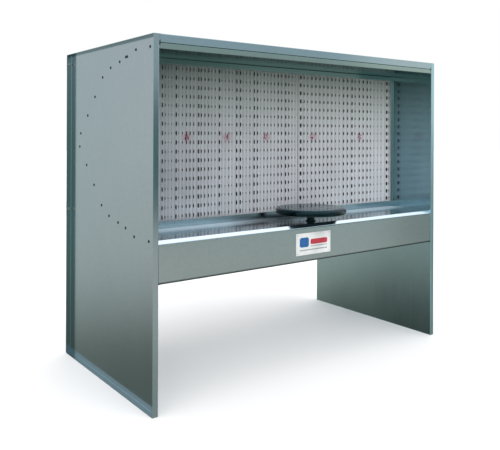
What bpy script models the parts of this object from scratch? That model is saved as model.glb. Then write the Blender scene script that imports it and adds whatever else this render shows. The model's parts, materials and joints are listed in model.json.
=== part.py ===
"""Sheet-steel spray bench with a dry pleated filter, an exhaust fan and a hand turntable.

Metres, +Z up. The origin is the middle of the footprint, on the floor. +X runs along the
bench to the operator's right, and +Y runs from the open front to the back.
"""

import math

import bmesh
import bpy
from mathutils import Matrix, Vector

# ---- Overall size and sheet work
WIDTH = 2.09
DEPTH = 1.10
HEIGHT = 1.80
SHEET = 0.0015
GAP = 0.0003
FOLD_RADIUS = 0.0025
FLANGE = 0.030
CORNER_RELIEF_PER_RADIUS = 2.6

# ---- Levels and places, measured from the floor and from the front plane
TABLE_Z = 0.824
NOSING_DROP = 0.020
NOSING_RUN = 0.019
TABLE_DEPTH = 0.398
TABLE_FLANGE = 0.036
APRON_BOTTOM = 0.617
APRON_SETBACK = 0.003
APRON_SEAM = 0.0018
CEILING_Z = 1.730
CEILING_NOSING = 0.027
CEILING_SETBACK = 0.002
HEADER_DROP = 0.040
ROOF_DEPTH = 0.360

FILTER_FACE = 0.330
CHANNEL_DEPTH = 0.064
CHANNEL_LEG = 0.029
BOTTOM_LEG = 0.037
SIDE_LEG = 0.014
FILTER_SEAM_X = 0.137
PLEAT_DEPTH = 0.042
PLEAT_BOARD = 0.005
PLEATS_LEFT = 44
PLEATS_RIGHT = 24

# Plenum outline behind the filter, as (distance behind the front plane, height)
PLENUM_MIDDLE = 1.281
PLENUM_MOUTH = (0.400, 0.441)
PLENUM_SHOULDER = (0.617, 0.397)
PLENUM_THROAT = (0.975, 0.038)
END_FLANGE = 0.036
MOUTH_FLANGE = 0.034

RAIL_HEIGHT = 0.080
RAIL_LIP = 0.015
RAIL_LEVELS = {"middle": 0.830, "top": 1.705}

# ---- Fan, on the sloping upper sheet of the plenum
DUCT_RADIUS = 0.1775
DUCT_WALL = 0.002
FAN_CASING_LENGTH = 0.150
COLLAR_LENGTH = 0.070
FAN_BASE_RADIUS = 0.215
DUCT_FLANGE_RADIUS = 0.200
MOTOR_RADIUS = 0.070
MOTOR_LENGTH = 0.190
SHAFT_RADIUS = 0.0095
BLADE_COUNT = 7
BLADE_TIP = 0.171
HUB_RADIUS = 0.060

# ---- Turntable
TURNTABLE_X = 0.037
TURNTABLE_Y = 0.100
DISC_RADIUS = 0.205
DISC_BOTTOM = 0.045
DISC_THICKNESS = 0.031

# ---- Planes that follow from these: the turntable's rim overhangs the front edge
HALF_SPAN = WIDTH / 2 - FLANGE
SHEET_END = HALF_SPAN - GAP
OVERHANG = DISC_RADIUS - TURNTABLE_Y
FRONT = (OVERHANG - DEPTH) / 2
BACK = FRONT + DEPTH
TRAY_BACK = BACK - SHEET - GAP

# ---- Switch box, on the inner face of the right leg
SWITCH_Y = 0.120
SWITCH_Z = 0.690
SWITCH_WIDTH = 0.080
SWITCH_TALL = 0.130
SWITCH_DEPTH = 0.052
BUTTON_TRAVEL = 0.004

# ---- Badge plate on the apron
BADGE_X = -0.030
BADGE_Z = 0.716
BADGE_WIDTH = 0.260
BADGE_TALL = 0.121

for old in list(bpy.data.objects):
    bpy.data.objects.remove(old, do_unlink=True)


def material(name, colour, roughness, metallic):
    made = bpy.data.materials.new(name)
    made.use_nodes = True
    shader = made.node_tree.nodes["Principled BSDF"]
    shader.inputs["Base Color"].default_value = (*colour, 1.0)
    shader.inputs["Roughness"].default_value = roughness
    shader.inputs["Metallic"].default_value = metallic
    return made


STEEL = material("galvanised_steel", (0.52, 0.56, 0.57), 0.28, 1.0)
BRIGHT = material("zinc_plated_steel", (0.62, 0.63, 0.62), 0.25, 1.0)
BOARD = material("filter_board", (0.62, 0.62, 0.64), 0.9, 0.0)
GREY_PAINT = material("fan_grey_paint", (0.20, 0.23, 0.26), 0.5, 0.0)
BLACK = material("black_paint", (0.012, 0.014, 0.015), 0.3, 0.0)
LACQUER = material("black_lacquered_board", (0.012, 0.014, 0.015), 0.2, 0.0)
RUBBER = material("black_rubber", (0.02, 0.02, 0.02), 0.8, 0.0)
BLADE_ALLOY = material("fan_alloy", (0.60, 0.61, 0.62), 0.35, 1.0)
WHITE_PLATE = material("white_plate", (0.85, 0.86, 0.86), 0.35, 0.0)
BOX_GREY = material("box_grey", (0.45, 0.46, 0.46), 0.55, 0.0)
GREEN = material("start_green", (0.02, 0.30, 0.08), 0.4, 0.0)
RED = material("stop_red", (0.55, 0.02, 0.02), 0.4, 0.0)


# ---- Shared modelling helpers


def add_object(name, bm, surface, place=None):
    """Puts a bmesh into the scene as a named object. place is its world matrix."""
    mesh = bpy.data.meshes.new(name)
    bm.to_mesh(mesh)
    bm.free()
    made = bpy.data.objects.new(name, mesh)
    mesh.materials.append(surface)
    bpy.context.scene.collection.objects.link(made)
    if place is not None:
        made.matrix_world = place
    return made


def box(name, low, high, surface, place=None, bevel=0.0):
    """A block between two corners, with its edges rounded by bevel."""
    start = [min(pair) for pair in zip(low, high)]
    end = [max(pair) for pair in zip(low, high)]
    bm = bmesh.new()
    bmesh.ops.create_cube(bm, size=1.0)
    for vertex in bm.verts:
        vertex.co = Vector(
            (start[i] + (vertex.co[i] + 0.5) * (end[i] - start[i])) for i in range(3)
        )
    made = add_object(name, bm, surface, place)
    if bevel:
        rounding = made.modifiers.new("edge_rounding", "BEVEL")
        rounding.width = bevel
        rounding.segments = 2
    return made


def turned(name, profile, steps, surface, place=None, ring=False):
    """A body of revolution about local Z. profile lists (radius, height) from the top down the
    outer side; a ring's profile closes on itself, and another's ends lie on the axis."""
    bm = bmesh.new()
    verts = [bm.verts.new((radius, 0.0, height)) for radius, height in profile]
    edges = [bm.edges.new(pair) for pair in zip(verts, verts[1:])]
    if ring:
        edges.append(bm.edges.new((verts[-1], verts[0])))
    bmesh.ops.spin(
        bm,
        geom=verts + edges,
        cent=(0, 0, 0),
        axis=(0, 0, 1),
        angle=math.tau,
        steps=steps,
        use_duplicate=False,
    )
    bmesh.ops.remove_doubles(bm, verts=bm.verts, dist=1e-6)
    bmesh.ops.recalc_face_normals(bm, faces=bm.faces)
    made = add_object(name, bm, surface, place)
    made.data.shade_smooth()
    made.data.set_sharp_from_angle(angle=math.radians(35))
    return made


def prism(name, outline, start, end, surface):
    """Extrudes a closed (Y, Z) outline along X, from start to end."""
    bm = bmesh.new()
    face = bm.faces.new([bm.verts.new((start, y, z)) for y, z in outline])
    grown = bmesh.ops.extrude_face_region(bm, geom=[face])
    moved = [part for part in grown["geom"] if isinstance(part, bmesh.types.BMVert)]
    bmesh.ops.translate(bm, verts=moved, vec=(end - start, 0, 0))
    bmesh.ops.recalc_face_normals(bm, faces=bm.faces)
    return add_object(name, bm, surface)


def folded_outline(path, radius=FOLD_RADIUS, thickness=SHEET, steps=3):
    """The closed (Y, Z) cross-section of a folded sheet. path runs along its outer face, and the
    sheet lies to the left of it. Each fold has the outside radius given."""
    points = [Vector(point) for point in path]
    outer = [points[0]]
    first = (points[1] - points[0]).normalized()
    inner = [points[0] + Vector((-first.y, first.x)) * thickness]
    for before, corner, after in zip(points, points[1:], points[2:]):
        into = (corner - before).normalized()
        out = (after - corner).normalized()
        left = Vector((-into.y, into.x))
        turn = math.atan2(into.x * out.y - into.y * out.x, into.dot(out))
        side = 1 if turn > 0 else -1
        outer_radius = radius if turn > 0 else radius - thickness
        inner_radius = radius - thickness if turn > 0 else radius
        setback = outer_radius * math.tan(abs(turn) / 2)
        centre = corner - into * setback + left * (side * outer_radius)
        for step in range(steps + 1):
            angle = turn * step / steps
            start = left * -side
            radial = Vector(
                (
                    start.x * math.cos(angle) - start.y * math.sin(angle),
                    start.x * math.sin(angle) + start.y * math.cos(angle),
                )
            )
            outer.append(centre + radial * outer_radius)
            inner.append(centre + radial * inner_radius)
    last = (points[-1] - points[-2]).normalized()
    outer.append(points[-1])
    inner.append(points[-1] + Vector((-last.y, last.x)) * thickness)
    return [tuple(point) for point in outer + inner[::-1]]


def tray(name, origin, along, across, inward, length, width, flanges, surface, radius=FOLD_RADIUS):
    """A sheet with its edges folded up. The flat's outer face starts at origin and spans length
    along one direction and width across it; flanges gives the four heights at the start and end
    of the length and at the start and end of the width, folded to the inward side."""
    along, across, inward = Vector(along), Vector(across), Vector(inward)
    place = Vector(origin)
    low_u, high_u, low_v, high_v = flanges
    relief = CORNER_RELIEF_PER_RADIUS * radius

    def point(u, v, n=0.0):
        return place + along * u + across * v + inward * n

    def reach(height):
        return relief if height else 0.0

    bm = bmesh.new()
    corners = [
        (0.0, 0.0, reach(low_u), reach(low_v)),
        (length, 0.0, -reach(high_u), reach(low_v)),
        (length, width, -reach(high_u), -reach(high_v)),
        (0.0, width, reach(low_u), -reach(high_v)),
    ]
    # Each corner gives the end of one side's fold and the start of the next side's.
    ring = []
    for number, (u, v, step_u, step_v) in enumerate(corners):
        on_u_side = bm.verts.new(point(u, v + step_v))
        on_v_side = bm.verts.new(point(u + step_u, v))
        pair = [on_u_side, on_v_side] if number in (0, 2) else [on_v_side, on_u_side]
        ring.append(pair)
    flat = [vertex for pair in ring for vertex in pair]
    bm.faces.new(flat[::-1])
    sides = [
        (low_v, ring[0][1], ring[1][0]),
        (high_u, ring[1][1], ring[2][0]),
        (high_v, ring[2][1], ring[3][0]),
        (low_u, ring[3][1], ring[0][0]),
    ]
    for height, start, end in sides:
        if not height:
            continue
        top_start = bm.verts.new(start.co + inward * height)
        top_end = bm.verts.new(end.co + inward * height)
        bm.faces.new((start, end, top_end, top_start))
    if along.cross(across).dot(inward) < 0:
        bmesh.ops.reverse_faces(bm, faces=bm.faces)
    bmesh.ops.remove_doubles(bm, verts=bm.verts, dist=1e-7)
    made = add_object(name, bm, surface)
    folds = made.modifiers.new("fold_radius", "BEVEL")
    folds.width = radius
    folds.segments = 3
    folds.limit_method = "ANGLE"
    folds.angle_limit = math.radians(30)
    skin = made.modifiers.new("sheet", "SOLIDIFY")
    skin.thickness = SHEET
    skin.offset = -1.0
    skin.use_even_offset = True
    return made


def join_to(target, tool, operation="UNION"):
    """Unites tool with target, or cuts it from target. The tool stays as a hidden guide."""
    change = target.modifiers.new(f"{operation.lower()}_{tool.name}"[:60], "BOOLEAN")
    change.operation = operation
    change.object = tool
    tool.hide_render = True
    tool.display_type = "WIRE"
    return target


def rods(name, centres, radius, start, end, axis="X", steps=12):
    """Parallel round cutters in one guide object, between two coordinates along an axis."""
    turn = {
        "X": Matrix.Rotation(math.pi / 2, 4, "Y"),
        "Y": Matrix.Rotation(-math.pi / 2, 4, "X"),
        "Z": Matrix.Identity(4),
    }[axis]
    bm = bmesh.new()
    middle = (start + end) / 2
    for centre in centres:
        where = {
            "X": (middle, *centre),
            "Y": (centre[0], middle, centre[1]),
            "Z": (*centre, middle),
        }[axis]
        bmesh.ops.create_cone(
            bm,
            cap_ends=True,
            segments=steps,
            radius1=radius,
            radius2=radius,
            depth=end - start,
            matrix=Matrix.Translation(where) @ turn,
        )
    guide = add_object(name, bm, STEEL)
    guide.hide_render = True
    guide.display_type = "WIRE"
    return guide


def behind(distance):
    """The Y coordinate of a point this far behind the front plane."""
    return FRONT + distance


# ---- Side panels, worktop, apron, ceiling and header


def side_panels():
    """Full-height sheets that stand on the floor, with all four flanges folded outwards."""
    panels = {}
    for side, sign in (("left", -1), ("right", 1)):
        panels[side] = tray(
            f"side_panel_{side}",
            (sign * HALF_SPAN, FRONT, 0),
            (0, 1, 0),
            (0, 0, 1),
            (sign, 0, 0),
            TRAY_BACK - FRONT,
            HEIGHT,
            (FLANGE, FLANGE, FLANGE, FLANGE),
            STEEL,
        )
    return panels


def worktop():
    """The table sheet: a rear flange, the flat, and a sloping front nosing with a turned-in hem."""
    rear = behind(TABLE_DEPTH)
    path = [
        (rear, TABLE_Z - TABLE_FLANGE),
        (rear, TABLE_Z),
        (behind(NOSING_RUN), TABLE_Z),
        (behind(0), TABLE_Z - NOSING_DROP),
        (behind(0.016), TABLE_Z - NOSING_DROP),
    ]
    made = prism("worktop", folded_outline(path), -SHEET_END, SHEET_END, STEEL)
    for side, sign in (("left", -1), ("right", 1)):
        tab = box(
            f"worktop_end_flange_{side}",
            (sign * SHEET_END, behind(0.040), TABLE_Z - TABLE_FLANGE),
            (sign * (SHEET_END - SHEET), rear - 0.006, TABLE_Z - SHEET / 2),
            STEEL,
        )
        join_to(made, tab)
    return made


def apron():
    """The front panel under the worktop, folded back on all four sides."""
    top = TABLE_Z - NOSING_DROP - APRON_SEAM
    return tray(
        "front_apron",
        (-SHEET_END, behind(APRON_SETBACK), APRON_BOTTOM),
        (1, 0, 0),
        (0, 0, 1),
        (0, 1, 0),
        2 * SHEET_END,
        top - APRON_BOTTOM,
        (FLANGE, FLANGE, FLANGE, FLANGE),
        STEEL,
        radius=0.004,
    )


def header():
    """The folded cap that closes the top edge of the front, behind its 40 mm face."""
    return tray(
        "header_cap",
        (-SHEET_END, FRONT, HEIGHT),
        (1, 0, 0),
        (0, 1, 0),
        (0, 0, -1),
        2 * SHEET_END,
        ROOF_DEPTH,
        (FLANGE, FLANGE, HEADER_DROP, FLANGE),
        STEEL,
    )


def ceiling():
    """The chamber's ceiling, folded upwards on all four sides."""
    return tray(
        "ceiling_panel",
        (-SHEET_END, behind(CEILING_SETBACK), CEILING_Z),
        (1, 0, 0),
        (0, 1, 0),
        (0, 0, 1),
        2 * SHEET_END,
        TABLE_DEPTH - CEILING_SETBACK,
        (TABLE_FLANGE, TABLE_FLANGE, CEILING_NOSING, CEILING_NOSING),
        STEEL,
    )


# ---- Filter and its frame


def filter_frame():
    """Four U-channels that hold the filter's edges."""
    near = behind(FILTER_FACE)
    far = near + CHANNEL_DEPTH
    floor = TABLE_Z + GAP
    roof = CEILING_Z - GAP
    bottom = [(near, floor + BOTTOM_LEG), (near, floor), (far, floor), (far, floor + BOTTOM_LEG)]
    prism("filter_channel_bottom", folded_outline(bottom), -SHEET_END, SHEET_END, STEEL)
    top = [(far, roof - CHANNEL_LEG), (far, roof), (near, roof), (near, roof - CHANNEL_LEG)]
    prism("filter_channel_top", folded_outline(top), -SHEET_END, SHEET_END, STEEL)
    for side, sign in (("left", -1), ("right", 1)):
        wall = SHEET_END
        edge = wall - SIDE_LEG
        upright = [(near, edge), (near, wall), (far, wall), (far, edge)]
        outline = folded_outline(upright[::-1])
        made = prism(
            f"filter_channel_{side}",
            outline,
            floor + BOTTOM_LEG + GAP,
            roof - CHANNEL_LEG - GAP,
            STEEL,
        )
        # The outline was drawn in (Y, Z) and extruded along X: turned so that X becomes height.
        spread = Matrix(((0, 0, sign, 0), (0, 1, 0, 0), (1, 0, 0, 0), (0, 0, 0, 1)))
        made.data.transform(spread)
        if spread.determinant() < 0:
            made.data.flip_normals()


def pleated_length(name, start, end, pleats):
    """One length of V-pleated filter board standing in the channels."""
    near = behind(FILTER_FACE) + SHEET + 2 * GAP
    bm = bmesh.new()
    corners = []
    for number in range(2 * pleats + 1):
        x = start + (end - start) * number / (2 * pleats)
        y = near + (PLEAT_DEPTH if number % 2 else 0.0)
        corners.append((x, y))
    rim = corners + [(x, y + PLEAT_BOARD) for x, y in reversed(corners)]
    low = TABLE_Z + GAP + FOLD_RADIUS + GAP
    high = CEILING_Z - GAP - FOLD_RADIUS - GAP
    columns = [
        (bm.verts.new((x, y, low)), bm.verts.new((x, y, high))) for x, y in rim
    ]
    count = len(corners)
    total = len(columns)
    for index in range(total):
        first, second = columns[index], columns[(index + 1) % total]
        bm.faces.new((first[0], second[0], second[1], first[1]))
    for index in range(count - 1):
        quad = (index, index + 1, total - 2 - index, total - 1 - index)
        bm.faces.new([columns[k][0] for k in quad])
        bm.faces.new([columns[k][1] for k in reversed(quad)])
    bmesh.ops.recalc_face_normals(bm, faces=bm.faces)
    return add_object(name, bm, BOARD)


def support_grid():
    """The flat lattice that the filter leans on, behind it in the same channels."""
    far = behind(FILTER_FACE) + CHANNEL_DEPTH - SHEET - GAP
    near = far - 0.004
    wall = SHEET_END - FOLD_RADIUS - GAP
    low = TABLE_Z + GAP + FOLD_RADIUS + GAP
    high = CEILING_Z - GAP - FOLD_RADIUS - GAP
    bar = 0.018
    made = box("filter_support_grid", (-wall, near, low), (wall, far, high), BRIGHT)
    columns, rows = 8, 4
    cell_x = (2 * wall - bar) / columns
    cell_z = (high - low - bar) / rows
    bm = bmesh.new()
    for column in range(columns):
        for row in range(rows):
            left = -wall + bar + column * cell_x
            bottom = low + bar + row * cell_z
            size = (cell_x - bar, 0.02, cell_z - bar)
            centre = (left + size[0] / 2, (near + far) / 2, bottom + size[2] / 2)
            scale = Matrix.Diagonal((*size, 1.0))
            bmesh.ops.create_cube(bm, size=1.0, matrix=Matrix.Translation(centre) @ scale)
    windows = add_object("grid_windows", bm, STEEL)
    return join_to(made, windows, "DIFFERENCE")


# ---- Plenum and rear rails


def plenum_point(spot, upper):
    """One corner of the plenum's outline, mirrored about its middle height for the upper half."""
    distance, rise = spot
    return Vector((behind(distance), PLENUM_MIDDLE + (rise if upper else -rise)))


def plenum_sheet(name, upper):
    """The folded sheet that closes the plenum above or below, with end flanges folded inside."""
    mouth, shoulder, throat = (
        plenum_point(spot, upper) for spot in (PLENUM_MOUTH, PLENUM_SHOULDER, PLENUM_THROAT)
    )
    path = [mouth, shoulder, throat]
    mouth_flange = mouth + Vector((0, MOUTH_FLANGE if upper else -MOUTH_FLANGE))
    section = [mouth_flange, *path]
    if upper:
        path = path[::-1]
        section = section[::-1]
    made = prism(name, folded_outline(section, radius=0.004), -SHEET_END, SHEET_END, STEEL)
    for number, (start, end) in enumerate(zip(path, path[1:])):
        run = (end - start).normalized()
        inside = Vector((-run.y, run.x))
        clear = 0.014
        first = start + run * clear
        last = end - run * clear
        outline = [
            first + inside * SHEET / 2,
            last + inside * SHEET / 2,
            last + inside * END_FLANGE,
            first + inside * END_FLANGE,
        ]
        for side, sign in (("left", -1), ("right", 1)):
            ends = sorted((sign * SHEET_END, sign * (SHEET_END - SHEET)))
            tab = prism(f"{name}_end_flange_{number}_{side}", outline, *ends, STEEL)
            join_to(made, tab)
    return made


def plenum_back():
    """The narrow rear strip that closes the throat, folded over the ends of the two sheets."""
    lower = plenum_point(PLENUM_THROAT, False)
    upper = plenum_point(PLENUM_THROAT, True)
    wall = lower.x + 0.004
    lap = 0.022
    slope = Vector((-1, -1)).normalized() * lap
    path = [
        (wall + slope.x, lower.y + slope.y),
        (wall, lower.y),
        (wall, upper.y),
        (wall + slope.x, upper.y - slope.y),
    ]
    return prism("plenum_back_strip", folded_outline(path, radius=0.003), -SHEET_END, SHEET_END, STEEL)


def rear_rails():
    """Two rails across the back, folded forwards between the panels and bolted to their flanges."""
    rails = {}
    for name, low in RAIL_LEVELS.items():
        made = box(
            f"rear_rail_{name}",
            (-WIDTH / 2, BACK - SHEET, low),
            (WIDTH / 2, BACK, low + RAIL_HEIGHT),
            STEEL,
        )
        for edge, z in (("lower", low), ("upper", low + RAIL_HEIGHT - SHEET)):
            lip = box(
                f"rail_{name}_{edge}_lip",
                (-SHEET_END, BACK - RAIL_LIP, z),
                (SHEET_END, BACK - SHEET / 2, z + SHEET),
                STEEL,
            )
            join_to(made, lip)
        rails[name] = made
    return rails


# ---- Fasteners


def side_screws(panels, table, roof):
    """Pan-head screws through the side panels into the worktop's and the ceiling's end flanges."""
    spots = {
        "table_front": (behind(0.095), TABLE_Z - 0.013),
        "table_rear": (behind(0.250), TABLE_Z - 0.013),
        "ceiling_front": (behind(0.095), CEILING_Z + 0.018),
        "ceiling_rear": (behind(0.250), CEILING_Z + 0.018),
    }
    profile = [
        (0, 0.0030),
        (0.0030, 0.0028),
        (0.0050, 0.0018),
        (0.0055, 0.0004),
        (0.0055, 0),
        (0.0021, 0),
        (0.0021, -0.011),
        (0, -0.013),
    ]
    for side, sign in (("left", -1), ("right", 1)):
        reach = sorted((sign * (HALF_SPAN - 0.02), sign * (HALF_SPAN + 0.02)))
        holes = rods(f"screw_holes_{side}", spots.values(), 0.0025, *reach)
        join_to(panels[side], holes, "DIFFERENCE")
        join_to(table, holes, "DIFFERENCE")
        join_to(roof, holes, "DIFFERENCE")
        turn = Matrix.Rotation(sign * math.pi / 2, 4, "Y")
        for spot, (y, z) in spots.items():
            head = Matrix.Translation((sign * (HALF_SPAN + SHEET + GAP), y, z))
            turned(f"screw_{spot}_{side}", profile, 12, BRIGHT, head @ turn)


def rail_bolts(panels, rails):
    """Hexagon bolts through the side panels' back flanges into the rails."""
    across = HALF_SPAN + 0.016
    grip = BACK - TRAY_BACK + SHEET
    for name, rail in rails.items():
        level = RAIL_LEVELS[name] + RAIL_HEIGHT / 2
        centres = [(-across, level), (across, level)]
        holes = rods(f"bolt_holes_{name}", centres, 0.0043, BACK - 0.02, BACK + 0.02, "Y")
        join_to(rail, holes, "DIFFERENCE")
        for side, sign in (("left", -1), ("right", 1)):
            join_to(panels[side], holes, "DIFFERENCE")
            seat = TRAY_BACK - SHEET - GAP
            place = Matrix.Translation((sign * across, seat, level))
            place = place @ Matrix.Rotation(math.pi / 2, 4, "X")
            bm = bmesh.new()
            bmesh.ops.create_cone(
                bm, cap_ends=True, segments=6, radius1=0.0075, radius2=0.0075, depth=0.0055,
                matrix=Matrix.Translation((0, 0, 0.00275)),
            )
            head = add_object(f"rail_bolt_{name}_{side}", bm, BRIGHT, place)
            bm = bmesh.new()
            bmesh.ops.create_cone(
                bm, cap_ends=True, segments=12, radius1=0.0038, radius2=0.0038,
                depth=grip + 0.002, matrix=Matrix.Translation((0, 0, -grip / 2 + 0.001)),
            )
            shank = add_object(f"rail_bolt_shank_{name}_{side}", bm, BRIGHT, place)
            join_to(head, shank)


def badge(front):
    """A plain plate riveted to the apron."""
    rear = behind(APRON_SETBACK) - GAP
    plate = box(
        "badge_plate",
        (BADGE_X - BADGE_WIDTH / 2, rear - 0.0012, BADGE_Z - BADGE_TALL / 2),
        (BADGE_X + BADGE_WIDTH / 2, rear, BADGE_Z + BADGE_TALL / 2),
        WHITE_PLATE,
    )
    inset = 0.009
    centres = [
        (BADGE_X + sx * (BADGE_WIDTH / 2 - inset), BADGE_Z + sz * (BADGE_TALL / 2 - inset))
        for sx in (-1, 1)
        for sz in (-1, 1)
    ]
    holes = rods("rivet_holes", centres, 0.0020, FRONT - 0.01, FRONT + 0.02, "Y", steps=10)
    join_to(plate, holes, "DIFFERENCE")
    join_to(front, holes, "DIFFERENCE")
    profile = [(0, 0.0010), (0.0022, 0.0007), (0.0034, 0), (0.0016, 0), (0.0016, -0.006), (0, -0.006)]
    seat = rear - 0.0012 - GAP
    for number, (x, z) in enumerate(centres, 1):
        place = Matrix.Translation((x, seat, z)) @ Matrix.Rotation(math.pi / 2, 4, "X")
        turned(f"badge_rivet_{number}", profile, 10, BRIGHT, place)


# ---- Fan


def fan(upper_sheet):
    """A tube-axial fan on the plenum's upper slope, with its motor hung inside the plenum."""
    shoulder = plenum_point(PLENUM_SHOULDER, True)
    throat = plenum_point(PLENUM_THROAT, True)
    centre = (shoulder + throat) / 2
    slope = math.atan2(shoulder.y - throat.y, throat.x - shoulder.x)
    axis = bpy.data.objects.new("fan_axis", None)
    bpy.context.scene.collection.objects.link(axis)
    axis.location = (0, centre.x, centre.y)
    axis.rotation_euler = (-slope, 0, 0)
    bpy.context.view_layer.update()
    place = axis.matrix_world.copy()

    def on_axis(made):
        made.parent = axis
        made.matrix_parent_inverse = place.inverted()
        return made

    opening = turned(
        "fan_opening", [(0, 0.02), (0.182, 0.02), (0.182, -0.02), (0, -0.02)], 40, STEEL, place
    )
    join_to(upper_sheet, opening, "DIFFERENCE")

    outer = DUCT_RADIUS + DUCT_WALL
    top = GAP + FAN_CASING_LENGTH
    casing = [
        (DUCT_RADIUS, top),
        (DUCT_FLANGE_RADIUS, top),
        (DUCT_FLANGE_RADIUS, top - 0.003),
        (outer, top - 0.003),
        (outer, GAP + 0.003),
        (FAN_BASE_RADIUS, GAP + 0.003),
        (FAN_BASE_RADIUS, GAP),
        (DUCT_RADIUS, GAP),
    ]
    on_axis(turned("fan_casing", casing, 40, GREY_PAINT, place, ring=True))
    foot = top + GAP
    end = foot + COLLAR_LENGTH
    collar = [
        (DUCT_RADIUS, end),
        (outer - 0.0006, end),
        (outer - 0.0006, end - 0.012),
        (outer + 0.0030, end - 0.016),
        (outer - 0.0006, end - 0.020),
        (outer - 0.0006, foot + 0.003),
        (DUCT_FLANGE_RADIUS, foot + 0.003),
        (DUCT_FLANGE_RADIUS, foot),
        (DUCT_RADIUS, foot),
    ]
    on_axis(turned("exhaust_collar", collar, 40, STEEL, place, ring=True))

    arm_top = -SHEET - GAP
    arm_bottom = arm_top - 0.004
    spider = turned(
        "motor_spider",
        [(0.014, arm_top), (0.058, arm_top), (0.058, arm_bottom), (0.014, arm_bottom)],
        32,
        GREY_PAINT,
        place,
        ring=True,
    )
    for number in range(4):
        turn = Matrix.Rotation(math.pi / 4 + number * math.pi / 2, 4, "Z")
        arm = box(
            f"spider_arm_{number}",
            (0.045, -0.016, arm_bottom),
            (FAN_BASE_RADIUS, 0.016, arm_top),
            GREY_PAINT,
            place @ turn,
        )
        join_to(spider, arm)
    on_axis(spider)

    face = arm_bottom - GAP
    motor = [
        (0, face - 0.020),
        (0.012, face - 0.020),
        (0.012, face),
        (0.050, face),
        (MOTOR_RADIUS - 0.004, face - 0.010),
        (MOTOR_RADIUS, face - 0.016),
        (MOTOR_RADIUS, face - MOTOR_LENGTH + 0.030),
        (MOTOR_RADIUS - 0.006, face - MOTOR_LENGTH + 0.006),
        (MOTOR_RADIUS - 0.014, face - MOTOR_LENGTH),
        (0, face - MOTOR_LENGTH),
    ]
    on_axis(turned("motor_body", motor, 32, GREY_PAINT, place))
    on_axis(
        box(
            "motor_terminal_box",
            (MOTOR_RADIUS + 0.0015, -0.040, face - 0.130),
            (MOTOR_RADIUS + 0.040, 0.040, face - 0.050),
            GREY_PAINT,
            place,
            bevel=0.003,
        )
    )
    rotor_low, rotor_high = 0.030, 0.090
    shaft = [
        (0, rotor_high + 0.020),
        (SHAFT_RADIUS - 0.001, rotor_high + 0.020),
        (SHAFT_RADIUS, rotor_high + 0.019),
        (SHAFT_RADIUS, face - 0.0195),
        (0, face - 0.0195),
    ]
    on_axis(turned("motor_shaft", shaft, 24, BRIGHT, place))
    impeller(on_axis, place, rotor_low, rotor_high)
    nut = turned(
        "impeller_nut",
        [
            (SHAFT_RADIUS + GAP, rotor_high + 0.013),
            (0.0165, rotor_high + 0.013),
            (0.0165, rotor_high + GAP),
            (SHAFT_RADIUS + GAP, rotor_high + GAP),
        ],
        6,
        BRIGHT,
        place,
        ring=True,
    )
    bore = rods("nut_bore", [(0, 0)], SHAFT_RADIUS + GAP, 0, 0.2, "Z", steps=24)
    bore.matrix_world = place
    join_to(nut, bore, "DIFFERENCE")
    on_axis(nut)


def impeller(on_axis, place, low, high):
    """A hub with twisted blades, on the motor's shaft."""
    hub = turned(
        "impeller",
        [
            (SHAFT_RADIUS + GAP, high),
            (HUB_RADIUS - 0.006, high),
            (HUB_RADIUS, high - 0.006),
            (HUB_RADIUS, low),
            (SHAFT_RADIUS + GAP, low),
        ],
        28,
        BLADE_ALLOY,
        place,
        ring=True,
    )
    middle = (low + high) / 2
    stations = 5
    for number in range(BLADE_COUNT):
        bm = bmesh.new()
        rings = []
        for station in range(stations):
            share = station / (stations - 1)
            radius = HUB_RADIUS - 0.008 + share * (BLADE_TIP - HUB_RADIUS + 0.008)
            pitch = math.radians(48 - 24 * share)
            half = 0.030 + 0.012 * share
            thick = 0.0022 - 0.0008 * share
            chord = Vector((0, math.cos(pitch), math.sin(pitch))) * half
            skin = Vector((0, -math.sin(pitch), math.cos(pitch))) * thick
            centre = Vector((radius, 0, middle))
            rings.append(
                [bm.verts.new(centre + a * chord + b * skin) for a, b in ((-1, -1), (1, -1), (1, 1), (-1, 1))]
            )
        for near, far in zip(rings, rings[1:]):
            for k in range(4):
                bm.faces.new((near[k], near[(k + 1) % 4], far[(k + 1) % 4], far[k]))
        bm.faces.new(rings[0][::-1])
        bm.faces.new(rings[-1])
        bmesh.ops.recalc_face_normals(bm, faces=bm.faces)
        turn = Matrix.Rotation(number * math.tau / BLADE_COUNT, 4, "Z")
        blade = add_object(f"blade_{number}", bm, BLADE_ALLOY, place @ turn)
        join_to(hub, blade)
    on_axis(hub)


# ---- Turntable


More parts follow.
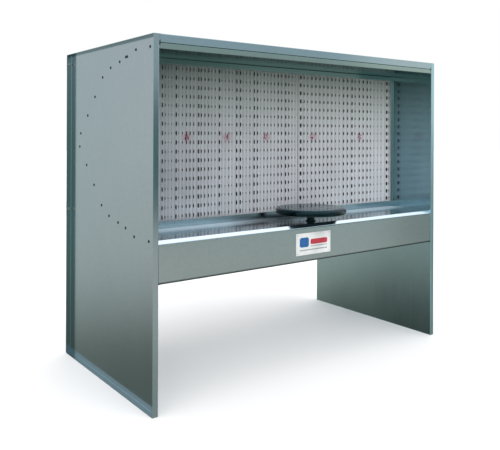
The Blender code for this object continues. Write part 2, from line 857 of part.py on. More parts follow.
def turntable():
    """A disc on a fixed base and spindle, turned by hand."""
    place = Matrix.Translation((TURNTABLE_X, behind(TURNTABLE_Y), TABLE_Z + GAP))
    low = DISC_BOTTOM
    high = DISC_BOTTOM + DISC_THICKNESS
    boss = 0.012
    turned(
        "turntable_base",
        [
            (0.0083, boss),
            (0.0225, boss),
            (0.0225, 0.0060),
            (0.0265, 0.0045),
            (0.0300, 0.0030),
            (0.0300, 0),
            (0.0083, 0),
        ],
        40,
        BLACK,
        place,
        ring=True,
    )
    turned(
        "turntable_spindle",
        [(0, high - 0.010), (0.0070, high - 0.010), (0.0080, high - 0.011), (0.0080, 0.0005), (0, 0.0005)],
        24,
        BRIGHT,
        place,
    )
    turned(
        "turntable_bearing",
        [(0.0083, boss + 0.0035), (0.0200, boss + 0.0035), (0.0200, boss + GAP), (0.0083, boss + GAP)],
        32,
        BRIGHT,
        place,
        ring=True,
    )
    hub_low = boss + 0.0038
    corner = 0.009
    rounding = [
        (
            DISC_RADIUS - corner + corner * math.cos(math.radians(angle)),
            high - corner + corner * math.sin(math.radians(angle)),
        )
        for angle in (90, 45, 0)
    ]
    under = [
        (
            DISC_RADIUS - corner + corner * math.cos(math.radians(angle)),
            low + corner + corner * math.sin(math.radians(angle)),
        )
        for angle in (0, -45, -90)
    ]
    disc = [(0, high)] + rounding + under
    disc += [(0.0225, low), (0.0225, hub_low), (0.0085, hub_low), (0.0085, high - 0.008), (0, high - 0.008)]
    turned("turntable_disc", disc, 56, LACQUER, place)
    turned(
        "turntable_mat",
        [(0, high + 0.0022), (0.1905, high + 0.0022), (0.192, high + GAP), (0, high + GAP)],
        56,
        RUBBER,
        place,
    )


# ---- Switch box


def switch_box():
    """A two-button motor switch on the right leg's inner face, behind the apron."""
    wall = SHEET_END
    y = behind(SWITCH_Y)
    half_y, half_z = SWITCH_WIDTH / 2, SWITCH_TALL / 2
    back_plate = 0.006
    box(
        "switch_base",
        (wall - back_plate, y - half_y, SWITCH_Z - half_z),
        (wall, y + half_y, SWITCH_Z + half_z),
        BOX_GREY,
        bevel=0.0015,
    )
    mouth = wall - back_plate - GAP
    cover = box(
        "switch_cover",
        (wall - SWITCH_DEPTH, y - half_y, SWITCH_Z - half_z),
        (mouth, y + half_y, SWITCH_Z + half_z),
        BOX_GREY,
        bevel=0.003,
    )
    skin = 0.0025
    hollow = box(
        "switch_hollow",
        (wall - SWITCH_DEPTH + skin, y - half_y + skin, SWITCH_Z - half_z + skin),
        (mouth + 0.01, y + half_y - skin, SWITCH_Z + half_z - skin),
        BOX_GREY,
    )
    join_to(cover, hollow, "DIFFERENCE")
    levels = {"start_button": SWITCH_Z + 0.028, "stop_button": SWITCH_Z - 0.028}
    centres = [(y, z) for z in levels.values()]
    holes = rods("button_holes", centres, 0.0118, wall - 0.08, wall - 0.03, "X", steps=24)
    join_to(cover, holes, "DIFFERENCE")
    box(
        "switch_contact_block",
        (wall - 0.030, y - 0.024, SWITCH_Z - 0.048),
        (mouth - GAP, y + 0.024, SWITCH_Z + 0.048),
        BLACK,
        bevel=0.001,
    )
    heads = {"start_button": (0.0112, 0.0065, GREEN), "stop_button": (0.0112, 0.0095, RED)}
    inward = Matrix.Rotation(-math.pi / 2, 4, "Y")
    for name, z in levels.items():
        radius, proud, colour = heads[name]
        profile = [
            (0, proud),
            (radius - 0.0012, proud),
            (radius, proud - 0.0012),
            (radius, -0.0060),
            (0.0045, -0.0060),
            (0.0045, -0.0160),
            (0, -0.0160),
        ]
        place = Matrix.Translation((wall - SWITCH_DEPTH, y, z)) @ inward
        turned(name, profile, 24, colour, place)
    gland = [
        (0.0045, 0),
        (0.0105, 0),
        (0.0105, -0.006),
        (0.0095, -0.006),
        (0.0080, -0.015),
        (0.0045, -0.015),
    ]
    under = Matrix.Translation((wall - SWITCH_DEPTH / 2, y, SWITCH_Z - half_z - GAP))
    turned("cable_gland", gland, 24, BOX_GREY, under, ring=True)


def main():
    panels = side_panels()
    table = worktop()
    front = apron()
    header()
    roof = ceiling()
    filter_frame()
    left = -SHEET_END + FOLD_RADIUS + GAP
    right = SHEET_END - FOLD_RADIUS - GAP
    pleated_length("filter_media_left", left, FILTER_SEAM_X - GAP, PLEATS_LEFT)
    pleated_length("filter_media_right", FILTER_SEAM_X + GAP, right, PLEATS_RIGHT)
    support_grid()
    plenum_sheet("plenum_lower_sheet", upper=False)
    upper_sheet = plenum_sheet("plenum_upper_sheet", upper=True)
    plenum_back()
    rails = rear_rails()
    side_screws(panels, table, roof)
    rail_bolts(panels, rails)
    badge(front)
    fan(upper_sheet)
    turntable()
    switch_box()


main()
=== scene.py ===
"""Looks for the dry-filter spray bench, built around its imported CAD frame."""

import json
import math
import random

import bmesh
import bpy
from mathutils import Matrix, Vector


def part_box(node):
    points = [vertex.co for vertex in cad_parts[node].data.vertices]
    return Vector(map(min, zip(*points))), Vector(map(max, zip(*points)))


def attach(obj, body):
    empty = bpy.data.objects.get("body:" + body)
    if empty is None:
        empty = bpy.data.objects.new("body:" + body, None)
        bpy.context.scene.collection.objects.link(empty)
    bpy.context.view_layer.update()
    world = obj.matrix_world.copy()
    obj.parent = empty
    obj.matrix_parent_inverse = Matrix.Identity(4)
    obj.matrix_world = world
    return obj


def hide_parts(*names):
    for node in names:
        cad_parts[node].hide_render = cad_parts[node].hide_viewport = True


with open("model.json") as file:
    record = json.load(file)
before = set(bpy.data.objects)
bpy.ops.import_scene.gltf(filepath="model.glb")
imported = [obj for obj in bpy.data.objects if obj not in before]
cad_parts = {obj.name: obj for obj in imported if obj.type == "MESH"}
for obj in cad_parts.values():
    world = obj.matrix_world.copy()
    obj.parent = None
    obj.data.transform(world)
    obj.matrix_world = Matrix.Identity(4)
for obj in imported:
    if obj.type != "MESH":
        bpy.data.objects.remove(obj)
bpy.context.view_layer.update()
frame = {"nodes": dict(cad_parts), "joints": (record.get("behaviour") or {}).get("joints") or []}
nodes = frame["nodes"]

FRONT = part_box("side_panel_left")[0].y
TABLE_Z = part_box("worktop")[1].z
CEILING_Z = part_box("ceiling_panel")[0].z
SHEET = 0.0015
GAP = 0.0003


def behind(distance):
    """The Y coordinate of a point this far behind the front plane."""
    return FRONT + distance


# ---- Camera, world and floor


def make_camera():
    """The photo's view: level, with its frame shifted down."""
    data = bpy.data.cameras.new("camera")
    data.sensor_fit = "HORIZONTAL"
    data.sensor_width = 36.0
    data.lens = 45.55
    data.shift_y = -0.1852
    data.clip_end = 200.0
    camera = bpy.data.objects.new("camera", data)
    camera.location = (-2.4534, behind(-2.6298), 1.3365)
    camera.rotation_euler = (math.radians(90), math.radians(-0.22), math.radians(-36.86))
    bpy.context.scene.collection.objects.link(camera)
    bpy.context.scene.camera = camera


def make_world():
    """A pale overcast sky over darker ground, seen in the steel; the backdrop itself is white."""
    world = bpy.data.worlds.new("studio")
    bpy.context.scene.world = world
    world.use_nodes = True
    tree = world.node_tree
    tree.nodes.clear()
    new, link = tree.nodes.new, tree.links.new

    direction = new("ShaderNodeTexCoord").outputs["Generated"]
    split = new("ShaderNodeSeparateXYZ")
    link(direction, split.inputs[0])
    height = new("ShaderNodeMapRange")
    height.inputs["From Min"].default_value = -1.0
    link(split.outputs["Z"], height.inputs["Value"])
    ramp = new("ShaderNodeValToRGB")
    link(height.outputs[0], ramp.inputs[0])
    # Elevation in degrees and colour, from straight down to straight up.
    sky = [
        (-90, (0.62, 0.64, 0.63)),
        (-45, (0.55, 0.57, 0.56)),
        (-32, (0.42, 0.45, 0.43)),
        (-26, (0.22, 0.245, 0.215)),
        (-22, (0.19, 0.21, 0.185)),
        (-18.5, (0.26, 0.275, 0.24)),
        (-16.8, (0.39, 0.40, 0.36)),
        (-14.5, (0.59, 0.59, 0.545)),
        (-12.5, (0.72, 0.71, 0.67)),
        (-10, (0.79, 0.78, 0.74)),
        (-2, (0.87, 0.86, 0.835)),
        (12, (0.90, 0.89, 0.89)),
        (30, (1.25, 1.25, 1.27)),
        (46, (1.75, 1.75, 1.77)),
        (90, (1.60, 1.60, 1.62)),
    ]
    brightest = max(channel for _, colour in sky for channel in colour)
    stops = ramp.color_ramp.elements
    while len(stops) < len(sky):
        stops.new(0.5)
    for stop, (elevation, colour) in zip(stops, sky):
        stop.position = (math.sin(math.radians(elevation)) + 1) / 2
        stop.color = (*(channel / brightest for channel in colour), 1.0)

    # Soft round areas of the surroundings are darker, bluer or brighter. Each has a direction,
    # the radii where it is full and where it ends, all in degrees, and its colour.
    light = ramp.outputs["Color"]
    for azimuth, elevation, inner, outer, colour in (
        (152, -16, 10, 21.5, (0.55, 0.58, 0.58)),
        (140, -24, 10.2, 12.8, (0.32, 0.35, 0.35)),
        (136, -17, 6, 14, (0.92, 0.82, 0.74)),
        (-33, -9, 2, 9.5, (0.42, 0.48, 0.46)),
        (-36, 7, 4.5, 9, (1.80, 1.60, 1.50)),
        (-50, 12, 12.8, 25.8, (0.62, 0.76, 0.80)),
        (-61, -2.2, 3.5, 8, (0.10, 0.24, 0.24)),
        (-61, -25, 3, 12.5, (2.15, 2.20, 2.30)),
        (-111, -5, 5, 17, (0.42, 0.64, 0.57)),
    ):
        azimuth, elevation = math.radians(azimuth), math.radians(elevation)
        near = new("ShaderNodeVectorMath")
        near.operation = "DOT_PRODUCT"
        link(direction, near.inputs[0])
        near.inputs[1].default_value = (
            math.cos(azimuth) * math.cos(elevation),
            math.sin(azimuth) * math.cos(elevation),
            math.sin(elevation),
        )
        fade = new("ShaderNodeMapRange")
        fade.interpolation_type = "SMOOTHSTEP"
        fade.inputs["From Min"].default_value = math.cos(math.radians(outer))
        fade.inputs["From Max"].default_value = math.cos(math.radians(inner))
        link(near.outputs["Value"], fade.inputs["Value"])
        tinted = new("ShaderNodeMix")
        tinted.data_type = "RGBA"
        tinted.blend_type = "MULTIPLY"
        link(fade.outputs[0], tinted.inputs[0])
        link(light, tinted.inputs[6])
        tinted.inputs[7].default_value = (*colour, 1.0)
        light = tinted.outputs[2]

    # The camera sees the backdrop, and everything else is lit by the surroundings.
    surroundings = new("ShaderNodeBackground")
    surroundings.inputs["Strength"].default_value = brightest
    link(light, surroundings.inputs["Color"])
    backdrop = new("ShaderNodeBackground")
    backdrop.inputs["Color"].default_value = (1.0, 1.0, 1.0, 1.0)
    backdrop.inputs["Strength"].default_value = 1.0
    chosen = new("ShaderNodeMixShader")
    link(new("ShaderNodeLightPath").outputs["Is Camera Ray"], chosen.inputs[0])
    link(surroundings.outputs[0], chosen.inputs[1])
    link(backdrop.outputs[0], chosen.inputs[2])
    link(chosen.outputs[0], new("ShaderNodeOutputWorld").inputs["Surface"])


def make_light():
    """One soft box in front of the bench and above it, which lights the chamber and the filter."""
    data = bpy.data.lights.new("soft_box", "AREA")
    data.shape = "RECTANGLE"
    data.size, data.size_y = 3.2, 1.6
    data.energy = 34.0
    light = bpy.data.objects.new("soft_box", data)
    light.location = (-0.55, behind(-2.6), 2.9)
    aim = Vector((0.05, behind(0.33), 1.15)) - light.location
    light.rotation_euler = aim.to_track_quat("-Z", "Y").to_euler()
    light.visible_glossy = False
    bpy.context.scene.collection.objects.link(light)


def make_floor():
    """A plain pale floor, which takes the bench's shadow but doesn't show in the steel."""
    bm = bmesh.new()
    bmesh.ops.create_grid(bm, x_segments=1, y_segments=1, size=40.0)
    floor = add_piece("floor", bm, None)
    surface = bpy.data.materials.new("floor_pale")
    surface.use_nodes = True
    shader = surface.node_tree.nodes["Principled BSDF"]
    shader.inputs["Base Color"].default_value = (0.86, 0.86, 0.86, 1.0)
    shader.inputs["Roughness"].default_value = 0.9
    shader.inputs["Specular IOR Level"].default_value = 0.1
    floor.data.materials.append(surface)
    floor.visible_glossy = False
    floor.visible_diffuse = False


# ---- Materials


class Surface:
    """A material's node tree with short calls for the nodes used here."""

    def __init__(self, name, roughness=0.5, metallic=0.0, specular=0.5):
        self.material = bpy.data.materials.new(name)
        self.material.use_nodes = True
        self.tree = self.material.node_tree
        self.shader = self.tree.nodes["Principled BSDF"]
        self.shader.inputs["Roughness"].default_value = roughness
        self.shader.inputs["Metallic"].default_value = metallic
        self.shader.inputs["Specular IOR Level"].default_value = specular
        self.coords = self.tree.nodes.new("ShaderNodeTexCoord").outputs["Object"]
        self.axes = None

    def plug(self, socket, value):
        """Links a node's output to the socket, or sets a plain value on it."""
        if isinstance(value, bpy.types.NodeSocket):
            self.tree.links.new(value, socket)
        else:
            socket.default_value = value

    def scaled(self, scale):
        """The piece's own coordinates, stretched along each axis."""
        mapping = self.tree.nodes.new("ShaderNodeMapping")
        self.plug(mapping.inputs["Vector"], self.coords)
        mapping.inputs["Scale"].default_value = scale
        return mapping.outputs[0]

    def noise(self, scale, detail=2.0, roughness=0.5, distortion=0.0):
        if not isinstance(scale, tuple):
            scale = (scale, scale, scale)
        node = self.tree.nodes.new("ShaderNodeTexNoise")
        self.plug(node.inputs["Vector"], self.scaled(scale))
        node.inputs["Scale"].default_value = 1.0
        node.inputs["Detail"].default_value = detail
        node.inputs["Roughness"].default_value = roughness
        node.inputs["Distortion"].default_value = distortion
        return node.outputs[0]

    def cells(self, scale):
        """A different value in each small irregular cell."""
        node = self.tree.nodes.new("ShaderNodeTexVoronoi")
        self.plug(node.inputs["Vector"], self.scaled((scale, scale, scale)))
        node.inputs["Scale"].default_value = 1.0
        split = self.tree.nodes.new("ShaderNodeSeparateColor")
        self.plug(split.inputs[0], node.outputs["Color"])
        return split.outputs[0]

    def place(self, axis):
        """The coordinate along X, Y or Z."""
        if self.axes is None:
            self.axes = self.tree.nodes.new("ShaderNodeSeparateXYZ")
            self.plug(self.axes.inputs[0], self.coords)
        return self.axes.outputs[axis]

    def math(self, operation, *values):
        node = self.tree.nodes.new("ShaderNodeMath")
        node.operation = operation
        for socket, value in zip(node.inputs, values):
            self.plug(socket, value)
        return node.outputs[0]

    def ranged(self, value, low, high, to_low=0.0, to_high=1.0, smooth=False):
        """The value mapped from low..high to to_low..to_high, and kept inside that."""
        node = self.tree.nodes.new("ShaderNodeMapRange")
        if smooth:
            node.interpolation_type = "SMOOTHSTEP"
        self.plug(node.inputs["Value"], value)
        for name, number in (
            ("From Min", low),
            ("From Max", high),
            ("To Min", to_low),
            ("To Max", to_high),
        ):
            node.inputs[name].default_value = number
        return node.outputs[0]

    def mix(self, factor, first, second):
        node = self.tree.nodes.new("ShaderNodeMix")
        node.data_type = "RGBA"
        self.plug(node.inputs[0], factor)
        for socket, colour in ((node.inputs[6], first), (node.inputs[7], second)):
            self.plug(socket, (*colour, 1.0) if isinstance(colour, tuple) else colour)
        return node.outputs[2]

    def colour(self, value):
        self.plug(self.shader.inputs["Base Color"], value)

    def roughness(self, value):
        self.plug(self.shader.inputs["Roughness"], value)

    def bump(self, height, strength, distance):
        node = self.tree.nodes.new("ShaderNodeBump")
        node.inputs["Strength"].default_value = strength
        node.inputs["Distance"].default_value = distance
        self.plug(node.inputs["Height"], height)
        self.plug(self.shader.inputs["Normal"], node.outputs[0])


def shade(colour, factor):
    return tuple(min(1.0, c * factor) for c in colour)


STEEL_TINT = (0.350, 0.433, 0.472)
# The light bluish colour of the dull band is a painted reflection.
PAINTED_REFLECTION_TINT = (0.70, 0.84, 0.94)
DULL_COVER = 0.7  # how much of the metal's gloss the dull band hides where it is full
DULL_ROUGHNESS = 0.3  # added where the dull band is full
SHADOW_LEVEL = 0.38  # brightness of the steel where the painted shadow is full
# Brightness of the steel where the painted shade along a fold is full.
BAND_SHADE_LEVEL = 0.18
SHADOW_RAGGEDNESS = 0.05  # how far, in metres, the painted shadow's outline wanders
GLOSS_SPREAD = 0.03


def galvanised(
    name,
    grain,
    tint=STEEL_TINT,
    roughness=0.15,
    edge=(1.0, 1.0, 1.0),
    shaded_band=None,
    dull=None,
    painted_shadow=None,
):
    """Rolled zinc-coated sheet. grain is how fast the rolling streaks change along each axis,
    and edge the colour of reflections at a shallow angle. shaded_band is a pair of heights
    between which the sheet darkens: painted shade along a fold. dull is a pair of Y coordinates
    between which it loses its gloss and turns a light bluish matte colour, a painted reflection.
    painted_shadow is a round patch of painted shadow on the sheet's level top: its centre, and
    the radii where it is full and where it ends."""
    s = Surface(name, roughness, metallic=1.0)
    s.shader.inputs["Specular Tint"].default_value = (*edge, 1.0)
    streaks = s.noise(grain, detail=3.0, roughness=0.6)
    clouds = s.noise(1.7, detail=4.0, roughness=0.55, distortion=0.4)
    spangle = s.cells(85.0)
    blend = s.math("ADD", s.math("MULTIPLY", clouds, 0.50), s.math("MULTIPLY", streaks, 0.35))
    blend = s.math("ADD", blend, s.math("MULTIPLY", spangle, 0.15))
    metal = s.mix(s.ranged(blend, 0.25, 0.75), shade(tint, 0.93), shade(tint, 1.07))
    # The dull band: its gloss drops and its colour turns light bluish, a painted reflection.
    if dull:
        dullness = s.ranged(s.place("Y"), *dull, smooth=True)
        metal = s.mix(dullness, metal, PAINTED_REFLECTION_TINT)
        hidden = s.math("MULTIPLY", dullness, DULL_COVER)
        s.plug(s.shader.inputs["Metallic"], s.math("SUBTRACT", 1.0, hidden))
    # Painted shadow: the level top darkens in a ragged ring round the given centre, under the
    # turntable.
    if painted_shadow:
        (x, y), full, end = painted_shadow
        run = s.math("SUBTRACT", s.place("X"), x)
        back = s.math("SUBTRACT", s.place("Y"), y)
        squares = s.math("ADD", s.math("MULTIPLY", run, run), s.math("MULTIPLY", back, back))
        wander = s.math("MULTIPLY", clouds, SHADOW_RAGGEDNESS)
        distance = s.math("ADD", s.math("SQRT", squares), wander)
        level = s.ranged(s.place("Z"), TABLE_Z - 0.003, TABLE_Z - 0.0005)
        shadowed = s.math("MULTIPLY", s.ranged(distance, end, full, smooth=True), level)
        metal = s.mix(shadowed, metal, shade(tint, SHADOW_LEVEL))
    # Painted shade: the sheet darkens between the two heights, along a fold.
    if shaded_band:
        band_shade = s.ranged(s.place("Z"), *shaded_band, smooth=True)
        metal = s.mix(band_shade, metal, shade(tint, BAND_SHADE_LEVEL))
    s.colour(metal)
    uneven = s.math("ADD", s.math("MULTIPLY", clouds, 0.6), s.math("MULTIPLY", streaks, 0.4))
    gloss = s.ranged(uneven, 0.3, 0.7, roughness - GLOSS_SPREAD, roughness + GLOSS_SPREAD)
    if dull:
        gloss = s.math("ADD", gloss, s.math("MULTIPLY", dullness, DULL_ROUGHNESS))
    s.roughness(gloss)
    s.bump(streaks, 0.04, 0.0001)
    return s.material


def plated(name, tint, roughness):
    """Machined or zinc-plated steel, slightly mottled."""
    s = Surface(name, roughness, metallic=1.0)
    mottle = s.noise(180.0, detail=3.0)
    s.colour(s.mix(mottle, shade(tint, 0.75), shade(tint, 1.15)))
    s.roughness(s.ranged(mottle, 0.3, 0.7, roughness - 0.07, roughness + 0.10))
    s.bump(s.noise(900.0), 0.15, 0.0001)
    return s.material


def painted(name, colour, roughness=0.4, grain=420.0, strength=0.2):
    """Sprayed paint or moulded plastic with a fine orange peel and uneven sheen."""
    s = Surface(name, roughness)
    patches = s.noise(9.0, detail=4.0, distortion=0.5)
    s.colour(s.mix(s.ranged(patches, 0.3, 0.7), shade(colour, 0.85), shade(colour, 1.12)))
    s.roughness(s.ranged(s.noise(35.0, detail=4.0), 0.3, 0.7, roughness - 0.06, roughness + 0.08))
    s.bump(s.noise(grain, detail=1.0), strength, 0.0002)
    return s.material


def lacquer(name, colour, roughness):
    """Hard glossy bluish black lacquer, slightly smeared."""
    s = Surface(name, roughness, specular=0.40)
    s.shader.inputs["Specular Tint"].default_value = (0.35, 0.85, 1.0, 1.0)
    smears = s.noise(6.0, detail=5.0, distortion=0.8)
    s.colour(s.mix(s.ranged(smears, 0.3, 0.75), colour, shade(colour, 2.0)))
    s.roughness(s.ranged(smears, 0.3, 0.7, roughness - 0.04, roughness + 0.09))
    s.bump(s.noise(260.0, detail=2.0), 0.08, 0.0001)
    return s.material


# Where the filter's five faint red print marks are.
STAMPS_X = (-0.657, -0.392, -0.105, 0.280, 0.699)
STAMP_Z = 1.310


def filter_card(name, colour, stamps=False):
    """Grey fibre card: fine grain, faint corrugation lines, small faded red print marks, and
    painted shade in the folds and towards the top.
    """
    s = Surface(name, 0.85, specular=0.25)
    fibres = s.noise(520.0, detail=3.0, roughness=0.7)
    lines = s.noise((900.0, 900.0, 14.0), detail=1.0)
    patches = s.noise(5.0, detail=4.0)
    tone = s.math("ADD", s.math("MULTIPLY", fibres, 0.5), s.math("MULTIPLY", lines, 0.2))
    tone = s.math("ADD", tone, s.math("MULTIPLY", patches, 0.3))
    board = s.mix(s.ranged(tone, 0.33, 0.67), shade(colour, 0.84), shade(colour, 1.10))
    # Painted shade: the card darkens away from the ridges, into the folds.
    fold_shade = s.ranged(s.place("Y"), FILTER_NEAR + 0.001, FILTER_NEAR + 0.022, smooth=True)
    board = s.mix(s.math("MULTIPLY", fold_shade, 0.35), board, shade(colour, 0.45))
    # Painted shade: the upper part darkens and greys towards the top, under the ceiling.
    top_shade = s.ranged(s.place("Z"), 1.15, FILTER_HIGH, smooth=True)
    board = s.mix(s.math("MULTIPLY", top_shade, 0.5), board, (0.60, 0.65, 0.60))
    if stamps:
        ink = 0.0
        rise = s.math("SUBTRACT", s.place("Z"), STAMP_Z)
        rise = s.math("MULTIPLY", rise, rise)
        for x in STAMPS_X:
            run = s.math("SUBTRACT", s.place("X"), x)
            run = s.math("MULTIPLY", run, run)
            distance = s.math("SQRT", s.math("ADD", run, rise))
            ink = s.math("MAXIMUM", ink, s.ranged(distance, 0.036, 0.006, smooth=True))
        worn = s.ranged(s.noise(95.0, detail=3.0), 0.34, 0.60)
        ink = s.math("MULTIPLY", ink, worn)
        board = s.mix(s.math("MULTIPLY", ink, 0.75), board, (0.62, 0.18, 0.26))
        core = s.ranged(ink, 0.45, 1.0, smooth=True)
        board = s.mix(core, board, (0.20, 0.05, 0.09))
    s.colour(board)
    s.bump(s.math("ADD", fibres, s.math("MULTIPLY", lines, 0.6)), 0.35, 0.0004)
    return s.material


# ---- Mesh helpers


def add_piece(name, bm, surface, smooth_angle=None):
    """An object made of bm, shaded smooth across edges flatter than smooth_angle degrees."""
    mesh = bpy.data.meshes.new(name)
    bm.to_mesh(mesh)
    bm.free()
    made = bpy.data.objects.new(name, mesh)
    if surface is not None:
        mesh.materials.append(surface)
    bpy.context.scene.collection.objects.link(made)
    if smooth_angle is not None:
        mesh.shade_smooth()
        mesh.set_sharp_from_angle(angle=math.radians(smooth_angle))
    return made


def lathe(bm, profile, steps, place=None):
    """Adds a closed body of revolution about Z. profile lists (radius, height) pairs; where it
    doesn't end on the axis, its two ends are joined into a ring."""
    place = place or Matrix.Identity(4)
    on_axis = profile[0][0] < 1e-9 and profile[-1][0] < 1e-9
    rings = []
    for radius, height in profile:
        if radius < 1e-9:
            rings.append([bm.verts.new(place @ Vector((0, 0, height)))])
            continue
        ring = []
        for step in range(steps):
            angle = math.tau * step / steps
            spot = Vector((radius * math.cos(angle), radius * math.sin(angle), height))
            ring.append(bm.verts.new(place @ spot))
        rings.append(ring)
    pairs = list(zip(rings, rings[1:]))
    if not on_axis:
        pairs.append((rings[-1], rings[0]))
    faces = []
    for first, second in pairs:
        for step in range(steps):
            after = (step + 1) % steps
            corners = [
                first[step % len(first)],
                first[after % len(first)],
                second[after % len(second)],
                second[step % len(second)],
            ]
            unique = list(dict.fromkeys(corners))
            if len(unique) > 2:
                faces.append(bm.faces.new(unique))
    bmesh.ops.recalc_face_normals(bm, faces=faces)


def block(bm, low, high):
    """Adds a plain block between two corners."""
    size = [b - a for a, b in zip(low, high)]
    centre = Vector([(a + b) / 2 for a, b in zip(low, high)])
    matrix = Matrix.Translation(centre) @ Matrix.Diagonal((*size, 1.0))
    bmesh.ops.create_cube(bm, size=1.0, matrix=matrix)


def rounded(piece, width):
    """Breaks a piece's edges and applies the change to its mesh."""
    change = piece.modifiers.new("rounding", "BEVEL")
    change.width = width
    change.segments = 1
    change.limit_method = "ANGLE"
    change.angle_limit = math.radians(40)
    apply_modifiers(piece)
    return piece


def apply_modifiers(piece):
    graph = bpy.context.evaluated_depsgraph_get()
    mesh = bpy.data.meshes.new_from_object(piece.evaluated_get(graph))
    piece.modifiers.clear()
    old = piece.data
    piece.data = mesh
    bpy.data.meshes.remove(old)


def finish_piece(piece, body, slot, *replaced):
    """Hides the CAD nodes a piece replaces and hangs the piece on the body it rides. slot is not
    used.
    """
    if replaced:
        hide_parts(*replaced)
    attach(piece, body)


# ---- Filter: pleated card with rows of punched holes

FILTER_NEAR = behind(0.330) + SHEET + 2 * GAP
PLEAT_DEPTH = 0.042
FILTER_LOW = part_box("filter_media_left")[0].z
FILTER_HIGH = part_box("filter_media_left")[1].z
ROW_PITCH = 0.050
FIRST_ROW = 0.881
HOLE_DEPTH = 0.0155  # from the ridge to a hole's middle, along the slanted card
HOLE_HALF_RUN = 0.0046
HOLE_HALF_RISE = 0.0122
HOLE_MARGIN = 0.001  # card left above and below a hole that an edge cuts short
CARD = 0.0016

# How far each pleat has opened, from the operator's left to right: w wide, m middling,
# s slightly shut, f nearly shut.
LEFT_PLEATS = "msmwmfmsmwsffwfsmmmWmmmsswffsfwwffswmfssssmmwmsf"
RIGHT_PLEATS = "WmsmmmmmmssmmwsmmmsfffWf"
OPENNESS = {"W": 1.55, "w": 1.20, "m": 0.93, "s": 0.70, "f": 0.44}
MIDDLING = OPENNESS["m"]


def hole_cell(half_run, half_rise, before, after, low, high, per_side=3):
    """Outer and inner points of one rectangle with an oval hole, counter-clockwise. The hole's
    centre is the origin, and the rectangle reaches from -before to after and from low to high."""
    corners = [(-before, low), (after, low), (after, high), (-before, high)]
    outer = []
    for number in range(4):
        a, b = corners[number], corners[(number + 1) % 4]
        for step in range(per_side):
            share = step / per_side
            outer.append((a[0] + (b[0] - a[0]) * share, a[1] + (b[1] - a[1]) * share))
    inner = []
    for u, v in outer:
        angle = math.atan2(v / (high - low), u / (before + after))
        inner.append((half_run * math.cos(angle), half_rise * math.sin(angle)))
    return outer, inner


def pleated_card(name, start, end, first_pitch, rhythm, seed):
    """One length of perforated card, folded into upright pleats between two X coordinates. The
    pleats' pitch runs evenly from first_pitch to what fills the length, give or take rhythm."""
    dice = random.Random(seed)
    count = len(rhythm)
    last_pitch = 2 * (end - start) / count - first_pitch
    pitches = []
    for number, mark in enumerate(rhythm):
        base = first_pitch + (last_pitch - first_pitch) * number / (count - 1)
        pitches.append(base * (0.86 + 0.15 * OPENNESS[mark] + dice.uniform(-0.02, 0.02)))
    scale = (end - start) / sum(pitches)
    edges = []
    x = start
    for pitch in pitches:
        edges.append(x)
        x += pitch * scale
    edges.append(end)

    rows = []
    z = FIRST_ROW - ROW_PITCH
    while z < FILTER_HIGH - 0.2 * ROW_PITCH:
        rows.append(z)
        z += ROW_PITCH

    bm = bmesh.new()
    for number, mark in enumerate(rhythm):
        ridge, following = edges[number], edges[number + 1]
        valley = (ridge + following) / 2 + dice.uniform(-0.0012, 0.0012)
        grow = OPENNESS[mark] * dice.uniform(0.95, 1.05)
        depth = HOLE_DEPTH + (MIDDLING - OPENNESS[mark]) * 0.010
        for near_x, facing in ((ridge, 1), (following, -1)):
            run = Vector((valley - near_x, PLEAT_DEPTH))
            length = run.length
            along = run / length
            for row, middle in enumerate(rows):
                low = max(FILTER_LOW, middle - ROW_PITCH / 2) - middle
                high = min(FILTER_HIGH, middle + ROW_PITCH / 2) - middle
                if row == len(rows) - 1:
                    high = FILTER_HIGH - middle
                if high < 0.006 or low > -0.006:
                    continue
                room = min(high, -low) - HOLE_MARGIN
                rise = min(HOLE_HALF_RISE * min(grow, 1.1), room)
                outer, inner = hole_cell(
                    HOLE_HALF_RUN * grow, rise, depth, length - depth, low, high
                )

                def place(u, v):
                    spot = Vector((near_x, FILTER_NEAR)) + along * (u + depth)
                    return bm.verts.new((spot.x, spot.y, middle + v))

                ring = [place(*point) for point in outer]
                rim = [place(*point) for point in inner]
                for k in range(len(ring)):
                    j = (k + 1) % len(ring)
                    face = (ring[k], ring[j], rim[j], rim[k])
                    bm.faces.new(face if facing > 0 else face[::-1])
    bmesh.ops.remove_doubles(bm, verts=bm.verts, dist=2e-5)
    made = add_piece(name, bm, CARD_FRONT)
    # The card's back faces and cut edges take the near-black card: painted shade inside the pleats
    # and through the holes.
    made.data.materials.append(CARD_PAINTED_SHADE)
    thicken = made.modifiers.new("card", "SOLIDIFY")
    thicken.thickness = CARD
    thicken.offset = -1.0
    thicken.material_offset = 1
    thicken.material_offset_rim = 1
    apply_modifiers(made)
    return made


def rear_card(name, start, end, pleats):
    """The second layer behind the pleats, which stops the view through the holes. Its near-black
    card is painted shade behind the pleats.
    """
    near = FILTER_NEAR + PLEAT_DEPTH + 0.0035
    bm = bmesh.new()
    points = []
    for number in range(2 * pleats + 1):
        x = start + (end - start) * number / (2 * pleats)
        points.append((x, near + (0.004 if number % 2 else 0.0)))
    outline = points + [(x, y + CARD) for x, y in reversed(points)]
    low = [bm.verts.new((x, y, FILTER_LOW)) for x, y in outline]
    high = [bm.verts.new((x, y, FILTER_HIGH)) for x, y in outline]
    total = len(outline)
    for k in range(total):
        j = (k + 1) % total
        bm.faces.new((low[k], low[j], high[j], high[k]))
    for k in range(len(points) - 1):
        quad = (k, k + 1, total - 2 - k, total - 1 - k)
        bm.faces.new([low[i] for i in quad])
        bm.faces.new([high[i] for i in reversed(quad)])
    bmesh.ops.recalc_face_normals(bm, faces=bm.faces)
    return add_piece(name, bm, CARD_PAINTED_SHADE)


